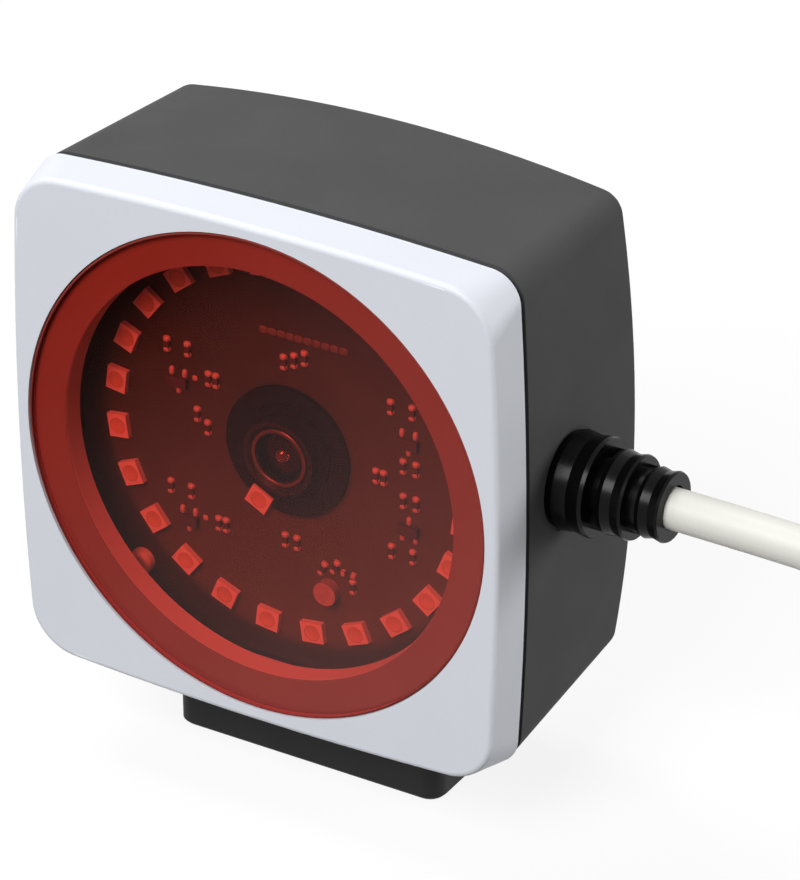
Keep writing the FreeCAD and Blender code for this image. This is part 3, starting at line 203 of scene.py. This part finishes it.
def clear_finish(name, tint, mirrored, gloss=(1.0, 1.0, 1.0), sheen_slope=0.0, cut=None):
    """A see-through material: tinted light passes straight on, and the polish mirrors a share of the rest.

    The share is given for light that comes straight on, and it grows with the fifth power at a low angle. A
    faint cloud, as a wiped surface has, makes it a little weaker or stronger from place to place, and a
    painted reflection slope makes it stronger to the right and downwards from the lens axis. Beyond a cut's
    radius it is frosted.
    """
    finish = bpy.data.materials.new(name)
    finish.use_nodes = True
    tree = finish.node_tree
    tree.nodes.clear()
    place = Flow(tree).add("TexCoord", out="Object")
    wipe = place.add("TexNoise", {}, {"Vector": place, "Scale": 45.0, "Detail": 3.0})
    passing = place.add("BsdfTransparent", {}, {"Color": (*tint, 1.0)})
    mirror = place.add("BsdfGlossy", {}, {"Color": (*gloss, 1.0), "Roughness": 0.04})
    apart = place.add("SeparateXYZ", {}, {"Vector": place})
    rise = apart.other(2) - axis_height
    painted_reflection_slope = (apart - rise) * sheen_slope
    slant = place.maths("POWER", place.add("LayerWeight", {}, {"Blend": 0.5}, out="Facing"), 5.0)
    edge = (slant * (1 - mirrored) + mirrored) * (wipe * 0.4 + 0.8 + painted_reflection_slope)
    surface = place.add("MixShader", {}, {0: edge, 1: passing, 2: mirror})
    if cut:
        reach = place.maths("SQRT", apart * apart + rise * rise)
        rim = place.add("MapRange", {}, {"Value": reach, "From Min": cut, "From Max": cut + 0.0002})
        frost = (0.3 * tint[0], 0.1 * tint[1], 0.09 * tint[2], 1.0)
        frosted = place.add("BsdfDiffuse", {}, {"Color": frost})
        surface = place.add("MixShader", {}, {0: rim, 1: surface, 2: frosted})
    surface.into(tree.nodes.new("ShaderNodeOutputMaterial"), "Surface")
    return finish


coated_glass = clear_finish("coated_glass", (0.72, 0.74, 0.78), 0.014, (1.0, 0.86, 0.92))
wear(coated_glass, "front_lens", "rear_lens")


def turned(middles, radii, depths):
    """Round pieces along Y: at the angle a, a profile's (r, d) is at its middle + (r cos a, d, r sin a)."""
    a = np.linspace(0, 2 * np.pi, 33)
    rows = np.outer(radii, np.cos(a)), np.outer(depths, 0 * a + 1), np.outer(radii, np.sin(a))
    shape = np.stack(rows, -1)
    return np.atleast_2d(middles)[:, None, None, :] + shape


def grid_piece(name, points, finish):
    """A piece of grids of points, (copies, rows, columns, 3), with a quad between each four neighbours."""
    index = np.arange(points[..., 0].size).reshape(points.shape[:3])
    quads = np.stack([index[:, :-1, :-1], index[:, :-1, 1:], index[:, 1:, 1:], index[:, 1:, :-1]], -1)
    mesh = bpy.data.meshes.new(name)
    mesh.from_pydata(points.reshape(-1, 3).tolist(), [], quads.reshape(-1, 4).tolist())
    work = bmesh.new()
    work.from_mesh(mesh)
    bmesh.ops.remove_doubles(work, verts=work.verts, dist=1e-6)
    bmesh.ops.recalc_face_normals(work, faces=work.faces)
    work.to_mesh(mesh)
    work.free()
    mesh.polygons.foreach_set("use_smooth", np.full(len(mesh.polygons), True))
    mesh.materials.append(finish)
    piece = bpy.data.objects.new(name, mesh)
    bpy.context.scene.collection.objects.link(piece)
    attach(piece, "head")


mouth = np.array([0.0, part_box("lens_barrel")[0][1], axis_height])
around = np.linspace(0, 2 * np.pi, 17)
ring_radius = 0.0037
ring_section = 0.00036
ring_metal = worked_metal("ring_metal", (0.10, 0.097, 0.094), 0.1, (3000, 300, 3000), 0.36, 0.26)
ring_outline = ring_radius + ring_section * np.cos(around)
ring = turned(mouth + (0, 0.00045, 0), ring_outline, ring_section * np.sin(around))
grid_piece("lens_ring", ring, ring_metal)

steep = np.linspace(0, 1.2, 9)
dome_radius = 0.0012
dome_outline = dome_radius * np.append(np.sin(steep), 0)
dome_depth = dome_radius * np.append(1 - np.cos(steep), 1 - np.cos(steep[-1]))
bright_glass = clear_finish("bright_glass", (0.9, 0.9, 0.92), 0.06)
dome = turned(mouth + (0, 0.0003, 0), dome_outline, dome_depth)
grid_piece("lens_middle", dome, bright_glass)

# Lamp board: a round board behind the window with a ring of lamps, their driver parts, and one aiming
# lamp beside the lens. Four pan-head screws hold it to brass standoffs on the main board.
shaded_lamp_mask, shader, place = new_finish("lamp_board_mask_painted_shade", roughness=0.5, specular_ior_level=0.1)
apart = place.add("SeparateXYZ", {}, {"Vector": place})
aside = apart
rise = apart.other(2) - axis_height
reach = place.maths("SQRT", aside * aside + rise * rise)
# Painted shade: the colour goes darker in a ring beyond the lamps towards the board's rim, where the
# window's ledge shades the board.
painted_shade_rim = place.add("MapRange", {"interpolation_type": "SMOOTHSTEP"}, {
    "Value": reach, "From Min": 0.0262, "From Max": 0.0285})
cloud = place.add("TexNoise", {}, {"Vector": place, "Scale": 190.0, "Detail": 3.0})
weave = place.add("TexNoise", {}, {"Vector": place, "Scale": 1500.0, "Detail": 1.0})
# Painted shade: the board's colour goes darker towards the top and the left, where the ledge above the
# window shades it.
painted_shade_slope = (aside * 0.4 - rise) * 18.0 + 0.34
mask_tone = (painted_shade_slope + cloud * 0.25 + weave * 0.07) * (1 - painted_shade_rim * 0.85)
brown = [(0.0, (0.017, 0.019, 0.011)), (0.5, (0.072, 0.079, 0.046)), (1.0, (0.118, 0.128, 0.08))]
place.add("ValToRGB", {"stops": brown}, {"Fac": mask_tone}).into(shader, "Base Color")
place.add("Bump", {}, {"Height": mask_tone, "Strength": 0.3, "Distance": 0.00001}).into(shader, "Normal")
wear(shaded_lamp_mask, "lamp_board")

part_black = moulded("part_black", (0.075, 0.068, 0.064), 0.2, 4200, 0.00002, 0.7, 0.5,
                     specular_ior_level=0.15)
wear(part_black, "chip_resistors", "driver_transistors")
lamp_package = moulded("lamp_package", (0.81, 0.79, 0.75), 0.05, 3000, 0.00001, 0.5, 0.35)
wear(lamp_package, "ring_lamps", "aiming_lamp")
can_metal = worked_metal("capacitor_can", (0.42, 0.41, 0.40), 0.12, (1500, 1500, 1500), 0.45, 0.3,
                         metallic=0.3)
wear(can_metal, "smoothing_capacitor")
bright_zinc = worked_metal("bright_zinc", (0.90, 0.90, 0.88), 0.06, (900, 900, 900), 0.5, 0.35,
                           metallic=0.05)
wear(bright_zinc, "board_screws")

board_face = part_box("lamp_board")[0][1]
lamp_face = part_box("ring_lamps")[0][1]
lamp_ring_radius = 0.0252
aiming_radius = 0.0090


def on_board(radius, turn, depth):
    """Points at a radius from the lens axis, turned round it, at a depth."""
    return np.stack([radius * np.cos(turn), 0 * turn + depth, axis_height + radius * np.sin(turn)], -1)


ring_turns = np.radians(7.5 + 15.0 * np.arange(24))
aiming_turn = np.radians([242.0])
lamp_middles = np.concatenate([on_board(lamp_ring_radius, ring_turns, lamp_face),
                               on_board(aiming_radius, aiming_turn, lamp_face)])
cup_outline = 0.00112 * np.array([0, 0.35, 0.7, 0.9, 1, 1, 0])
cup_depth = 0.0001 * np.array([1.6, 1.45, 0.9, 0.5, 0.2, 3.4, 3.4])
amber = moulded("amber_filling", (0.67, 0.54, 0.38), 0.1, 1800, 0.00001, 0.3, 0.18)
grid_piece("lamp_fillings", turned(lamp_middles, cup_outline, cup_depth), amber)


def solder(centres, along, half_along, half_across, high):
    """Solder joints: half of a rounded box over each centre, with its flat side on the board's face.

    With angle a round the joint and b up from the board, a point is along * l * cos a * cos b, across * w *
    sin a * cos b and out * h * sin b, each cosine and sine drawn towards the corners by a power of 0.7.
    """
    a, b = np.meshgrid(np.linspace(0, 2 * np.pi, 13), np.linspace(0, np.pi / 2, 5))
    round_shape = np.stack([np.cos(a) * np.cos(b), np.sin(a) * np.cos(b), np.sin(b)])
    bulge = np.sign(round_shape) * np.abs(round_shape) ** 0.7
    out = np.array([0.0, -1.0, 0.0])
    across = np.cross(along, out)
    shape = (half_along * bulge[0])[..., None] * along[:, None, None, :]
    shape = shape + (half_across * bulge[1])[..., None] * across[:, None, None, :]
    return centres[:, None, None, :] + shape + (high * bulge[2])[..., None] * out


tin = worked_metal("solder_tin", (0.56, 0.55, 0.53), 0.1, (2500, 2500, 2500), 0.55, 0.4, metallic=0.15)
chip_mesh = solids["chip_resistors"].data
corners = np.empty(len(chip_mesh.vertices) * 3)
chip_mesh.vertices.foreach_get("co", corners)
corners_per_chip = 24
chips = corners.reshape(-1, corners_per_chip, 3)
chip_middle = chips.mean(1)
spread = chips - chip_middle[:, None, :]
chip_way = np.linalg.eigh(np.einsum("nij,nik->njk", spread, spread))[1][:, :, 2]
chip_foot = chip_middle * (1, 0, 1) + (0, board_face, 0)
to_end = 0.0007 * chip_way
chip_ends = np.concatenate([chip_foot - to_end, chip_foot + to_end])
chip_joints = solder(chip_ends, np.tile(chip_way, (2, 1)), 0.00042, 0.00052, 0.00047)
grid_piece("chip_solder", chip_joints, tin)

driver_shares = np.array([(0.680, 0.228), (0.680, -0.252), (-0.638, 0.210), (-0.597, -0.564)])
driver_x, driver_z = (lamp_ring_radius * driver_shares).T
driver_turns = np.radians([0.0, 180.0, 0.0, 0.0])
upward = np.stack([-np.sin(driver_turns), 0 * driver_turns, np.cos(driver_turns)], -1)
driver_foot = np.stack([driver_x, 0 * driver_x + board_face, axis_height + driver_z], -1)
to_row = 0.0012 * upward
to_side = 0.00095 * np.cross((0.0, -1.0, 0.0), upward)
paired_row = driver_foot + to_row
lead_feet = np.concatenate([paired_row + to_side, paired_row - to_side, driver_foot - to_row])
driver_joints = solder(lead_feet, np.tile(upward, (3, 1)), 0.00062, 0.00036, 0.0004)
grid_piece("driver_solder", driver_joints, tin)

pins = 0.0022 + np.linspace(-0.0057, 0.0057, 10)
pin_feet = np.stack([pins, 0 * pins + board_face, 0 * pins + axis_height + 0.0158], -1)
pin_way = np.tile((0.0, 0.0, 1.0), (len(pins), 1))
dull_tin = worked_metal("dull_tin", (0.135, 0.125, 0.105), 0.15, (2500, 2500, 2500), 0.65, 0.5,
                        metallic=0.15)
grid_piece("pin_solder", solder(pin_feet, pin_way, 0.0005, 0.00062, 0.00015), dull_tin)

test_feet = np.array([(-0.01370, board_face, 0.05323), (-0.01265, board_face, 0.03362)])
grid_piece("test_points", solder(test_feet, pin_way[:2], 0.00038, 0.00038, 0.00015), tin)

# Front bezel: a frame of light grey-white moulded plastic with a satin skin and softened edges. A spigot
# on its back goes into the housing, and its ledge carries the window.
wear(moulded("bezel_white", (0.745, 0.770, 0.835), 0.015, 2400, 0.000012, 0.55, 0.42), "front_bezel")

# Window: a round pane of clear red filter plastic with polished faces and a sawn, frosted rim. It is bedded
# flush in the bezel on a ring of grey double-sided tape that shows through it.
grey_tape = moulded("grey_tape", (0.28, 0.27, 0.26), 0.06, 1800, 0.00003, 0.8, 0.65, specular_ior_level=0.2)
wear(grey_tape, "window_seal")
# Painted reflection: the pane mirrors a larger share towards the lower right, by a slope set in its finish.
wear(clear_finish("red_pane", (0.985, 0.51, 0.455), 0.0115, sheen_slope=22.0, cut=0.03235), "window")

# Bend relief: a stepped bell of soft glossy black plastic in the right-hand wall, moulded round the lead
# and held from inside by a nut. Four insulated wires go on to a plug on the main board.
relief_black = moulded("relief_black", (0.002, 0.002, 0.002), 0.25, 700, 0.00005, 0.3, 0.18,
                       specular_ior_level=0.11)
wear(relief_black, "bend_relief")

wire_skin, shader, place = new_finish("wire_skin", roughness=0.4)
apart = place.add("SeparateXYZ", {}, {"Vector": place})
lead_depth = -0.0051
lead_height = 0.0487
above = place.maths("GREATER_THAN", apart.other(2), lead_height)
behind = place.maths("GREATER_THAN", apart.other(1), lead_depth)
wire_colours = [(0.0, (0.22, 0.09, 0.04)), (0.33, (0.8, 0.8, 0.78)),
                (0.66, (0.02, 0.06, 0.35)), (1.0, (0.02, 0.02, 0.02))]
which_wire = above * 0.33 + behind * 0.66
place.add("ValToRGB", {"stops": wire_colours}, {"Fac": which_wire}).into(shader, "Base Color")
wear(wire_skin, "lead_wires")

# Lead: a round off-white sensor lead, 5.3 mm thick. It comes straight out of the bend relief, falls in one
# long S, and what is left over is folded into a tied hank of three layers, with the connector inside it.
lead_radius = 0.00265
lead_route = np.array([
    (0.0265, lead_depth, lead_height), (0.0529, lead_depth, lead_height), (0.0800, lead_depth, 0.0478),
    (0.0990, -0.0105, 0.0360), (0.1160, -0.0170, 0.0255), (0.1360, -0.0218, 0.0190),
    (0.1580, -0.0231, 0.0156),
])
tail_route = np.array([(0.10745, -0.0163, 0.00325), (0.12445, -0.0083, 0.0075), (0.14245, -0.0055, 0.0075)])
hank_ends = np.array([(0.18645, -0.0013, 0.0), (0.09445, -0.0013, 0.0)])
fold_radius = np.array([0.0218, 0.0165, 0.0165, 0.0218, 0.0218, 0.0165])
fold_height = lead_radius * np.array([5, 5, 3, 3, 1, 1])


def hank_turns():
    """Centre line of the hank, turn by turn: a half round at the right end, one at the left, then a shift.

    With the angle a from -90 to 90 degrees, the right fold is the right end's middle plus the turn's radius
    times (cos a, sin a), and the left fold is the left end's middle minus the same. On the front run a turn
    goes over to the next one's place within 24 mm, the lowest turn first, so that no two meet.
    """
    a = np.linspace(-np.pi / 2, np.pi / 2, 13)
    way = np.stack([np.cos(a), np.sin(a), 0 * a], -1) * np.array([1, -1])[:, None, None]
    folds = hank_ends[:, None] + fold_radius[:, None, None, None] * way
    folds[..., 2] = fold_height[:, None, None]
    front = hank_ends[1] + np.stack([0 * fold_radius, -fold_radius, fold_height], 1)
    going = np.array([1.0, 0.0, 0.0]) * (0.034 - 0.0055 * np.arange(6))[:, None]
    leave = front + going
    arrive = np.roll(front, -1, 0) + going + (0.024, 0.0, 0.0)
    return np.concatenate([folds.reshape(6, 26, 3), leave[:, None], arrive[:, None]], 1).reshape(-1, 3)[:-2]


line = bpy.data.curves.new("lead", "CURVE")
line.dimensions = "3D"
line.bevel_depth = lead_radius
line.bevel_resolution = 6
line.resolution_u = 6
line.use_fill_caps = True
spline = line.splines.new("NURBS")
points = np.concatenate([lead_route, hank_turns(), tail_route])
spline.points.add(len(points) - 1)
spline.points.foreach_set("co", np.concatenate([points, np.ones((len(points), 1))], 1).ravel())
spline.order_u = 3
spline.use_endpoint_u = True
lead = bpy.data.objects.new("lead", line)
bpy.context.scene.collection.objects.link(lead)
line.materials.append(moulded("lead_jacket", (0.775, 0.765, 0.71), 0.02, 1400, 0.00002, 0.5, 0.4))
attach(lead, "head")
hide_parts("cable_lead", "cable_hank", "cable_tail")

# Connector and tie: an overmoulded black grip with gold-plated pins in a carrier and a fluted nut of
# nickel-plated brass that turns on its neck. A black nylon strap holds the hank.
grip_black = moulded("grip_black", (0.022, 0.022, 0.023), 0.2, 2200, 0.00003, 0.6, 0.42)
wear(grip_black, "connector_body", "contact_carrier", "cable_tie")
wear(moulded("seal_rubber", (0.012, 0.012, 0.012), 0.25, 2600, 0.00002, 0.8, 0.6), "connector_seal")
gold_plate = worked_metal("gold_plate", (0.88, 0.64, 0.25), 0.08, (800, 6000, 6000), 0.28, 0.16)
wear(gold_plate, "connector_contacts")
nickel_plate = worked_metal("nickel_plate", (0.53, 0.515, 0.485), 0.08, (2500, 300, 300), 0.3, 0.2)
wear(nickel_plate, "coupling_nut")

# Table and room: a plain pale top that keeps the object's soft shadow, in a plain pale room. Both are white
# to the camera and in reflections, and give little light of their own.
def seen_share(tree):
    """1 for a ray from the camera, off a gloss or out of a glass, and 0 for light between plain surfaces."""
    straight = Flow(tree).add("LightPath", out="Is Camera Ray")
    every = straight + straight.other("Is Glossy Ray") + straight.other("Is Transmission Ray")
    return every.maths("MINIMUM", every, 1.0)


table_half = 3.0
table_corners = table_half * np.array([(-1, -1, 0), (1, -1, 0), (1, 1, 0), (-1, 1, 0)])
table_mesh = bpy.data.meshes.new("table")
table_mesh.from_pydata(table_corners.tolist(), [], [(0, 1, 2, 3)])
table = bpy.data.objects.new("table", table_mesh)
bpy.context.scene.collection.objects.link(table)
table_white = bpy.data.materials.new("table_white")
table_white.use_nodes = True
tree = table_white.node_tree
tree.nodes.clear()
seen = seen_share(tree)
plain = seen.add("BsdfDiffuse", {}, {"Color": (0.14, 0.14, 0.14, 1.0)})
lift = seen.add("Emission", {}, {"Color": (1.0, 1.0, 1.0, 1.0), "Strength": 0.87})
shown = seen.add("AddShader", {}, {0: plain, 1: lift})
surface = seen.add("MixShader", {}, {0: seen, 1: plain, 2: shown})
surface.into(tree.nodes.new("ShaderNodeOutputMaterial"), "Surface")
table_mesh.materials.append(table_white)

room = bpy.data.worlds.new("room")
bpy.context.scene.world = room
room.use_nodes = True
backdrop = room.node_tree.nodes["Background"]
backdrop.inputs["Color"].default_value = (1.0, 1.0, 1.0, 1.0)
room_light = 0.08
(seen_share(room.node_tree) * (1 - room_light) + room_light).into(backdrop, "Strength")

# Lamps and camera: large soft lamps in front, overhead on the left and at the back on the right, all turned
# to the middle of the head, and a long lens to the right of the window and above it.
head_middle = Vector((0.0, 0.0, 0.045))
lamps = (("front_lamp", (0.0, -1.23, 1.12), 0.75, 24.8), ("top_lamp", (-0.5, 0.15, 0.85), 0.5, 4.5),
         ("side_lamp", (0.61, 0.43, 0.14), 0.3, 2.45))
for name, stand_place, size, power in lamps:
    lamp = bpy.data.lights.new(name, "AREA")
    lamp.size = size
    lamp.energy = power
    stand = bpy.data.objects.new(name, lamp)
    bpy.context.scene.collection.objects.link(stand)
    stand.location = stand_place
    stand.rotation_euler = (head_middle - stand.location).to_track_quat("-Z", "Y").to_euler()

azimuth, elevation, lean = np.radians((31.07, 29.17, -0.33))
level = np.array([np.cos(azimuth), np.sin(azimuth), 0.0])
towards = np.array([np.sin(azimuth), -np.cos(azimuth), 0.0])
back = np.cos(elevation) * towards + np.array([0.0, 0.0, np.sin(elevation)])
right = np.cos(lean) * level + np.sin(lean) * np.cross(back, level)
up = np.cross(back, right)
lens = bpy.data.cameras.new("camera")
lens.sensor_fit = "VERTICAL"
lens.sensor_height = 24.0
lens.lens = 140.27
lens.clip_start = 0.01
camera = bpy.data.objects.new("camera", lens)
bpy.context.scene.collection.objects.link(camera)
window_middle = np.array([0.0, -0.0226, axis_height])
distance, to_right, to_top = 0.62597, 0.018135, 0.004905
eye = window_middle + distance * back + to_right * right + to_top * up
camera.matrix_world = Matrix([*np.column_stack([right, up, back, eye]), (0, 0, 0, 1)])
bpy.context.scene.camera = camera
bpy.context.scene.view_settings.view_transform = "Standard"
